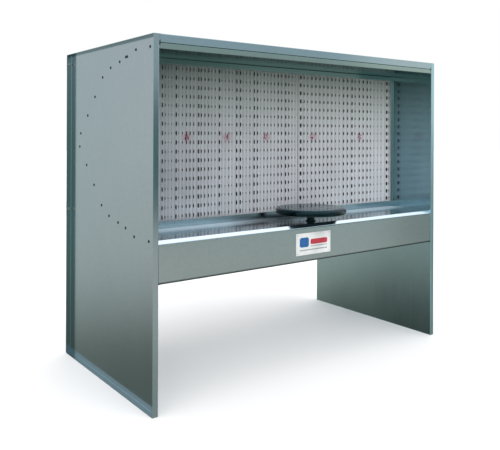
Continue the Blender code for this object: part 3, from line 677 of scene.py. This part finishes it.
def make_filter():
    left_low, left_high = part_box("filter_media_left")
    right_low, right_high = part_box("filter_media_right")
    made = pleated_card("filter_card_left", left_low.x, left_high.x, 0.0198, LEFT_PLEATS, 11)
    finish_piece(made, "bench", "filter_board", "filter_media_left")
    made = pleated_card("filter_card_right", right_low.x, right_high.x, 0.0330, RIGHT_PLEATS, 12)
    finish_piece(made, "bench", "filter_board", "filter_media_right")
    for side, low, high, pleats in (
        ("left", left_low.x, left_high.x, 44),
        ("right", right_low.x, right_high.x, 24),
    ):
        made = rear_card(f"filter_rear_layer_{side}", low, high, pleats)
        finish_piece(made, "bench", "filter_board")


# ---- Fasteners


def screw_mesh():
    """A pan-head screw with a cross recess, at the origin with its head towards +Z. It is made
    in millimetres, so that the cut is exact, and then scaled."""
    bm = bmesh.new()
    profile = [
        (0, 3.6),
        (2.0, 3.55),
        (3.8, 3.2),
        (5.2, 2.5),
        (6.1, 1.4),
        (6.5, 0.9),
        (8.0, 0.7),
        (8.0, 0.0),
        (2.2, 0.0),
        (2.2, -6.0),
        (0, -6.0),
    ]
    lathe(bm, profile, 20)
    head = add_piece("screw_source", bm, None)
    bm = bmesh.new()
    block(bm, (-3.2, -0.6, 1.9), (3.2, 0.6, 5.0))
    one = add_piece("slot_one", bm, None)
    bm = bmesh.new()
    block(bm, (-0.6, -3.2, 1.9), (0.6, 3.2, 5.0))
    two = add_piece("slot_two", bm, None)
    for slot in (one, two):
        cut = head.modifiers.new(slot.name, "BOOLEAN")
        cut.operation = "DIFFERENCE"
        cut.solver = "EXACT"
        cut.object = slot
    apply_modifiers(head)
    mesh = head.data.copy()
    mesh.transform(Matrix.Scale(0.001, 4))
    for item in (head, one, two):
        bpy.data.objects.remove(item)
    return mesh


def copies(name, source, places, surface, smooth_angle=35):
    """One object that holds a copy of source at each place."""
    bm = bmesh.new()
    for place in places:
        count = len(bm.verts)
        bm.from_mesh(source)
        bm.verts.ensure_lookup_table()
        bmesh.ops.transform(bm, matrix=place, verts=bm.verts[count:])
    return add_piece(name, bm, surface, smooth_angle)


def side_screw_spots():
    """Distances behind the front plane and heights of the screws on each side panel: they follow
    the worktop, the ceiling and the flanges of the two plenum sheets."""
    # Corners of the plenum's outline: distance behind the front, and height off its middle.
    mouth = Vector((0.400, 0.441))
    shoulder = Vector((0.617, 0.397))
    throat = Vector((0.975, 0.038))
    middle = 1.281
    inset = 0.014  # of the screws from the outline
    spots = [
        (0.095, TABLE_Z - 0.014),
        (0.250, TABLE_Z - 0.012),
        (0.088, CEILING_Z + 0.017),
        (0.238, CEILING_Z + 0.017),
        (0.335, 1.7215),
        (0.352, 1.7215),
        (0.348, 0.844),
    ]
    for first, last, upper, lower in (
        (mouth, shoulder, (0.125, 0.636), (0.18, 0.70)),
        (shoulder, throat, (0.09, 0.376, 0.662, 0.948), (0.11, 0.40, 0.70, 0.99)),
    ):
        run = (last - first).normalized()
        inward = Vector((run.y, -run.x)) * inset
        for sign, shares in ((1, upper), (-1, lower)):
            for share in shares:
                spot = first + (last - first) * share + inward
                spots.append((spot.x, middle + sign * spot.y))
    return spots


def make_side_screws():
    source = screw_mesh()
    dice = random.Random(5)
    for side, sign in (("left", -1), ("right", 1)):
        low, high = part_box(f"side_panel_{side}")
        wall = high.x - SHEET if sign < 0 else low.x + SHEET
        turn = Matrix.Rotation(sign * math.pi / 2, 4, "Y")
        places = []
        for distance, z in side_screw_spots():
            spin = Matrix.Rotation(dice.uniform(0, math.pi / 2), 4, "Z")
            places.append(Matrix.Translation((wall, behind(distance), z)) @ turn @ spin)
        made = copies(f"side_screws_{side}", source, places, SCREW_DARK)
        spots = ("table_front", "table_rear", "ceiling_front", "ceiling_rear")
        finish_piece(
            made, "bench", "zinc_plated_steel", *(f"screw_{spot}_{side}" for spot in spots)
        )


def make_corner_welds():
    """Closes the notches where a tray's flanges meet: an angle and a small web at each corner.
    Each tray is flat across one axis and folded back from its low (1) or high (-1) side."""
    for tray, normal, inward, depth, reach, surface in (
        ("side_panel_left", 0, -1, 0.030, 0.0066, SHEET_Z),
        ("side_panel_right", 0, 1, 0.030, 0.0066, SHEET_RIGHT_PAINTED_LIGHT),
        ("front_apron", 1, 1, 0.030, 0.0105, SHEET_APRON),
        ("header_cap", 2, -1, 0.030, 0.0066, SHEET_X),
        ("ceiling_panel", 2, 1, 0.018, 0.0066, SHEET_SHADED),
    ):
        low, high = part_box(tray)
        first, second = [axis for axis in range(3) if axis != normal]
        flat = low[normal] if inward > 0 else high[normal]
        angle = [(0, 0), (reach, 0), (reach, SHEET), (SHEET, SHEET), (SHEET, reach), (0, reach)]
        web = [(SHEET, SHEET), (reach, SHEET), (SHEET, reach)]
        bm = bmesh.new()
        for start_u, into_u in ((low[first], 1), (high[first], -1)):
            for start_v, into_v in ((low[second], 1), (high[second], -1)):
                for outline, height in ((angle, depth), (web, SHEET)):
                    ends = []
                    for level in (flat, flat + inward * height):
                        end = []
                        for u, v in outline:
                            spot = Vector()
                            spot[first] = start_u + into_u * u
                            spot[second] = start_v + into_v * v
                            spot[normal] = level
                            end.append(bm.verts.new(spot))
                        ends.append(end)
                    faces = [bm.faces.new(end) for end in ends]
                    near, far = ends
                    for k in range(len(outline)):
                        j = (k + 1) % len(outline)
                        faces.append(bm.faces.new((near[k], near[j], far[j], far[k])))
                    bmesh.ops.recalc_face_normals(bm, faces=faces)
        made = add_piece(f"{tray}_corner_welds", bm, surface)
        finish_piece(rounded(made, 0.0004), "bench", "galvanised_steel")


def make_apron_seam():
    """The thin sealing strip between the worktop's nosing and the apron's top fold."""
    low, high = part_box("front_apron")
    bm = bmesh.new()
    block(
        bm,
        (low.x + 0.0002, low.y - 0.0006, high.z - 0.0045),
        (high.x - 0.0002, low.y + 0.0010, high.z + 0.0002),
    )
    made = rounded(add_piece("apron_seam_strip", bm, SHEET_APRON), 0.0003)
    finish_piece(made, "bench", "galvanised_steel")


def hex_mesh(across, height, washer, washer_height):
    """A hexagon head on a washer. across and washer are radii."""
    bm = bmesh.new()
    lathe(bm, [(0, washer_height), (washer, washer_height), (washer, 0), (0, 0)], 20)
    chamfer = 0.12 * height
    foot = 0.8 * washer_height
    crown = across * 0.86 * 0.94
    lathe(
        bm,
        [(0, height), (crown, height), (across, height - chamfer), (across, foot), (0, foot)],
        6,
    )
    mesh = bpy.data.meshes.new("hex_source")
    bm.to_mesh(mesh)
    bm.free()
    return mesh


def make_back_rivets():
    """Two rows of blind rivets along the strip that joins the plenum's sheets."""
    low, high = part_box("plenum_back_strip")
    bm = bmesh.new()
    lathe(bm, [(0, 0.0016), (0.0022, 0.0014), (0.0038, 0.0008), (0.0044, 0.0), (0, 0)], 16)
    dome = bpy.data.meshes.new("rivet_source")
    bm.to_mesh(dome)
    bm.free()
    turn = Matrix.Rotation(-math.pi / 2, 4, "X")
    places = []
    count = 15
    end_gap, edge_gap = 0.060, 0.014
    for number in range(count):
        x = low.x + end_gap + (high.x - low.x - 2 * end_gap) * number / (count - 1)
        for z in (low.z + edge_gap, high.z - edge_gap):
            places.append(Matrix.Translation((x, high.y, z)) @ turn)
    made = copies("plenum_strip_rivets", dome, places, BRIGHT)
    finish_piece(made, "bench", "zinc_plated_steel")


def make_button_marks():
    """A raised bar on the start button and a raised ring on the stop button."""
    low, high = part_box("start_button")
    middle = (low + high) / 2
    bm = bmesh.new()
    block(
        bm,
        (low.x - 0.0004, middle.y - 0.0009, middle.z - 0.0040),
        (low.x + 0.0004, middle.y + 0.0009, middle.z + 0.0040),
    )
    made = rounded(add_piece("start_button_bar", bm, PLATE_WHITE), 0.0002)
    finish_piece(made, "start_button", "white_plate")
    low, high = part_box("stop_button")
    middle = (low + high) / 2
    bm = bmesh.new()
    place = Matrix.Translation((low.x, middle.y, middle.z)) @ Matrix.Rotation(-math.pi / 2, 4, "Y")
    ring = [(0.0042, -0.0004), (0.0042, 0.0004), (0.0028, 0.0004), (0.0028, -0.0004)]
    lathe(bm, ring, 32, place)
    made = add_piece("stop_button_ring", bm, PLATE_WHITE, 30)
    finish_piece(made, "stop_button", "white_plate")


# ---- Turntable


def make_turntable():
    """The disc, turned with a rounded rim and a hub under it, and its top with fine grooves."""
    low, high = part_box("turntable_disc")
    mat_low, mat_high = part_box("turntable_mat")
    centre = (low + high) / 2
    radius = (high.x - low.x) / 2
    place = Matrix.Translation((centre.x, centre.y, 0))
    board = 0.031
    top, bottom = high.z, high.z - board
    corner = 0.010
    rim = []
    for step in range(9):
        angle = math.radians(90 - 22.5 * step)
        middle = top - corner if step <= 4 else bottom + corner
        rim.append(
            (radius - corner + corner * math.cos(angle), middle + corner * math.sin(angle))
        )
    profile = [(0, top)] + rim
    profile += [
        (radius - 0.018, bottom),
        (radius - 0.022, bottom + 0.002),
        (0.040, bottom + 0.002),
        (0.030, bottom - 0.001),
        (0.0225, low.z),
        (0.0, low.z),
    ]
    bm = bmesh.new()
    lathe(bm, profile, 144, place)
    made = add_piece("turntable_disc_turned", bm, LACQUER, 40)
    finish_piece(made, "turntable", "black_lacquered_board", "turntable_disc")
    bm = bmesh.new()
    floor, roof = mat_low.z, mat_high.z
    outer = (mat_high.x - mat_low.x) / 2
    groove = 0.0007
    profile = [
        (0, roof),
        (0.012, roof),
        (0.0125, roof - groove),
        (0.0135, roof - groove),
        (0.014, roof),
    ]
    for ring in (0.060, 0.110, 0.160):
        profile += [
            (ring, roof),
            (ring + 0.0008, roof - groove),
            (ring + 0.0022, roof - groove),
            (ring + 0.0030, roof),
        ]
    profile += [(outer - 0.002, roof), (outer - 0.0005, roof - 0.0008), (outer, floor), (0, floor)]
    lathe(bm, profile, 144, place)
    made = add_piece("turntable_mat_turned", bm, MAT_TOP, 30)
    finish_piece(made, "turntable", "black_rubber", "turntable_mat")


# ---- Badge plate


def make_badge():
    """A blue square, a red bar and two grey lines, raised on the white plate."""
    low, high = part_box("badge_plate")
    front = low.y
    width, tall = high.x - low.x, high.z - low.z

    def bar(name, surface, x0, x1, z0, z1, corner):
        """One raised shape. Its sides are shares of the plate's width and height."""
        bm = bmesh.new()
        block(
            bm,
            (low.x + width * x0, front - 0.0005, low.z + tall * z0),
            (low.x + width * x1, front + 0.0002, low.z + tall * z1),
        )
        edges = [e for e in bm.edges if abs(e.verts[0].co.y - e.verts[1].co.y) > 1e-5]
        bmesh.ops.bevel(bm, geom=edges, offset=corner, segments=4, affect="EDGES")
        made = add_piece(name, bm, surface)
        finish_piece(made, "bench", "white_plate")

    bar("badge_blue_bar", BADGE_BLUE, 0.10, 0.36, 0.36, 0.80, 0.006)
    bar("badge_red_bar", BADGE_RED, 0.41, 0.90, 0.46, 0.70, 0.004)
    bar("badge_grey_line_upper", BADGE_GREY, 0.41, 0.90, 0.36, 0.395, 0.0015)
    bar("badge_grey_line_lower", BADGE_GREY, 0.10, 0.90, 0.20, 0.245, 0.0015)


# ---- Fan: bolts on its two flanges


def fan_place():
    """The fan's axis as a matrix: its origin lies on the plenum's slope."""
    joint = next(j for j in frame["joints"] if j["name"] == "fan_spin")
    centre, axis = Vector(joint["pos_m"]), Vector(joint["axis"]).normalized()
    slope = math.atan2(axis.y, axis.z)
    return Matrix.Translation(centre) @ Matrix.Rotation(-slope, 4, "X")


def make_fan_fittings():
    """Bolts round the casing's flange on the plenum and round its outlet flange."""
    place = fan_place()
    bolt = hex_mesh(0.0065, 0.0062, 0.0085, 0.0012)
    count = 12
    places = []
    for radius, height in ((0.2030, 0.0036), (0.1895, 0.1542)):
        for number in range(count):
            angle = math.tau * (number + 0.5) / count
            spot = (radius * math.cos(angle), radius * math.sin(angle), height)
            places.append(place @ Matrix.Translation(spot))
    made = copies("fan_flange_bolts", bolt, places, BRIGHT)
    finish_piece(made, "bench", "zinc_plated_steel")


# ---- Materials for the CAD nodes

# Rolling streaks change slowly along the grain and fast across it.
X_GRAIN = (2.0, 420.0, 420.0)
Z_GRAIN = (420.0, 420.0, 2.0)

TABLE_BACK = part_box("worktop")[1].y
APRON_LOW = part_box("front_apron")[0].z
TURNTABLE_AXIS = sum(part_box("turntable_disc"), Vector()).xy / 2

SHEET_X = galvanised("galvanised_rolled_along", X_GRAIN)
# The apron darkens along its bottom fold: painted shade.
SHEET_APRON = galvanised(
    "galvanised_apron",
    X_GRAIN,
    (0.362, 0.437, 0.450),
    shaded_band=(APRON_LOW + 0.014, APRON_LOW + 0.004),
)
# A darker, tealer copy of the steel for the ceiling and the filter's channels: painted shade.
SHEET_SHADED = galvanised(
    "galvanised_painted_shade", X_GRAIN, (0.30, 0.37, 0.35), edge=(0.42, 0.58, 0.58)
)
# Its reflections at a shallow angle are darker and tealer: painted shade on the flanges seen
# edge-on.
SHEET_Z = galvanised(
    "galvanised_rolled_upright", Z_GRAIN, (0.365, 0.433, 0.468), edge=(0.70, 0.82, 0.83)
)
# The right panel's steel is greener and lighter than the left panel's: painted light on its inner
# face.
SHEET_RIGHT_PAINTED_LIGHT = galvanised("galvanised_right_panel_painted_light", Z_GRAIN, (0.350, 0.530, 0.582))
# The worktop's steel is lighter than the other sheets, so that its nosing reflects white: painted
# highlight. Its back band's matte colour is a painted reflection, and a painted shadow darkens it
# round the turntable.
SHEET_TABLE_PAINTED_LIGHT = galvanised(
    "galvanised_worktop_painted_light",
    X_GRAIN,
    (0.56, 0.67, 0.75),
    roughness=0.17,
    dull=(TABLE_BACK - 0.24, TABLE_BACK - 0.10),
    painted_shadow=(TURNTABLE_AXIS, 0.280, 0.600),
)
RAIL_STEEL = galvanised("galvanised_rails", X_GRAIN, roughness=0.24)
BRIGHT = plated("zinc_plated", (0.62, 0.63, 0.62), 0.28)
# Near black screw heads: painted shade of their recesses and rims.
SCREW_DARK = plated("screw_zinc_painted_shade", (0.045, 0.06, 0.07), 0.45)
ALLOY = plated("fan_blade_alloy", (0.60, 0.61, 0.62), 0.36)
FAN_PAINT = painted("fan_grey_paint_sprayed", (0.16, 0.19, 0.22), 0.42)
BLACK_PAINT = lacquer("turntable_base_black", (0.001, 0.003, 0.004), 0.24)
LACQUER = lacquer("turntable_black_lacquer", (0.001, 0.003, 0.004), 0.10)
MAT_TOP = lacquer("turntable_top_gloss", (0.001, 0.018, 0.026), 0.12)
CARD_FRONT = filter_card("filter_card_grey", (0.80, 0.82, 0.86), stamps=True)
# Near black card for the rear layer and the card's back faces: painted shade behind the pleats.
CARD_PAINTED_SHADE = filter_card("filter_card_painted_shade", (0.020, 0.021, 0.022))
PLATE_WHITE = painted("badge_white_enamel", (0.86, 0.87, 0.88), 0.30, grain=300.0, strength=0.05)
BADGE_BLUE = painted("badge_blue_enamel", (0.02, 0.13, 0.38), 0.30, strength=0.05)
BADGE_RED = painted("badge_red_enamel", (0.55, 0.04, 0.07), 0.30, strength=0.05)
BADGE_GREY = painted("badge_grey_enamel", (0.35, 0.36, 0.38), 0.35, strength=0.05)
BOX_GREY = painted("switch_box_moulding", (0.42, 0.43, 0.43), 0.50)
BOX_BLACK = painted("switch_inner_moulding", (0.02, 0.02, 0.02), 0.55)
GREEN = painted("start_button_green", (0.02, 0.28, 0.07), 0.30)
RED = painted("stop_button_red", (0.55, 0.02, 0.02), 0.30)


def dress_nodes():
    """Gives every CAD node its material. Fasteners and other small parts are bright steel."""
    by_surface = [
        (SHEET_Z, ("side_panel_left",)),
        (SHEET_RIGHT_PAINTED_LIGHT, ("side_panel_right",)),
        (
            SHEET_SHADED,
            ("ceiling_panel", "filter_channel_top", "filter_channel_left", "filter_channel_right"),
        ),
        (
            SHEET_X,
            (
                "header_cap",
                "filter_channel_bottom",
                "plenum_lower_sheet",
                "plenum_upper_sheet",
                "plenum_back_strip",
            ),
        ),
        (SHEET_APRON, ("front_apron",)),
        (SHEET_TABLE_PAINTED_LIGHT, ("worktop",)),
        (RAIL_STEEL, ("rear_rail_middle", "rear_rail_top", "exhaust_collar")),
        (FAN_PAINT, ("fan_casing", "motor_spider", "motor_body", "motor_terminal_box")),
        (ALLOY, ("impeller",)),
        (BLACK_PAINT, ("turntable_base", "turntable_bearing", "turntable_spindle")),
        (PLATE_WHITE, ("badge_plate",)),
        (BOX_GREY, ("switch_base", "switch_cover", "cable_gland")),
        (BOX_BLACK, ("switch_contact_block",)),
        (GREEN, ("start_button",)),
        (RED, ("stop_button",)),
    ]
    dressed = {name: surface for surface, names in by_surface for name in names}
    for name, node in nodes.items():
        surface = dressed.get(name, BRIGHT)
        if not node.material_slots:
            node.data.materials.append(surface)
        for slot in node.material_slots:
            slot.material = surface


bpy.context.scene.view_settings.view_transform = "Standard"
make_camera()
make_world()
make_light()
make_floor()
dress_nodes()
make_filter()
make_side_screws()
make_corner_welds()
make_apron_seam()
make_back_rivets()
make_button_marks()
make_turntable()
make_badge()
make_fan_fittings()
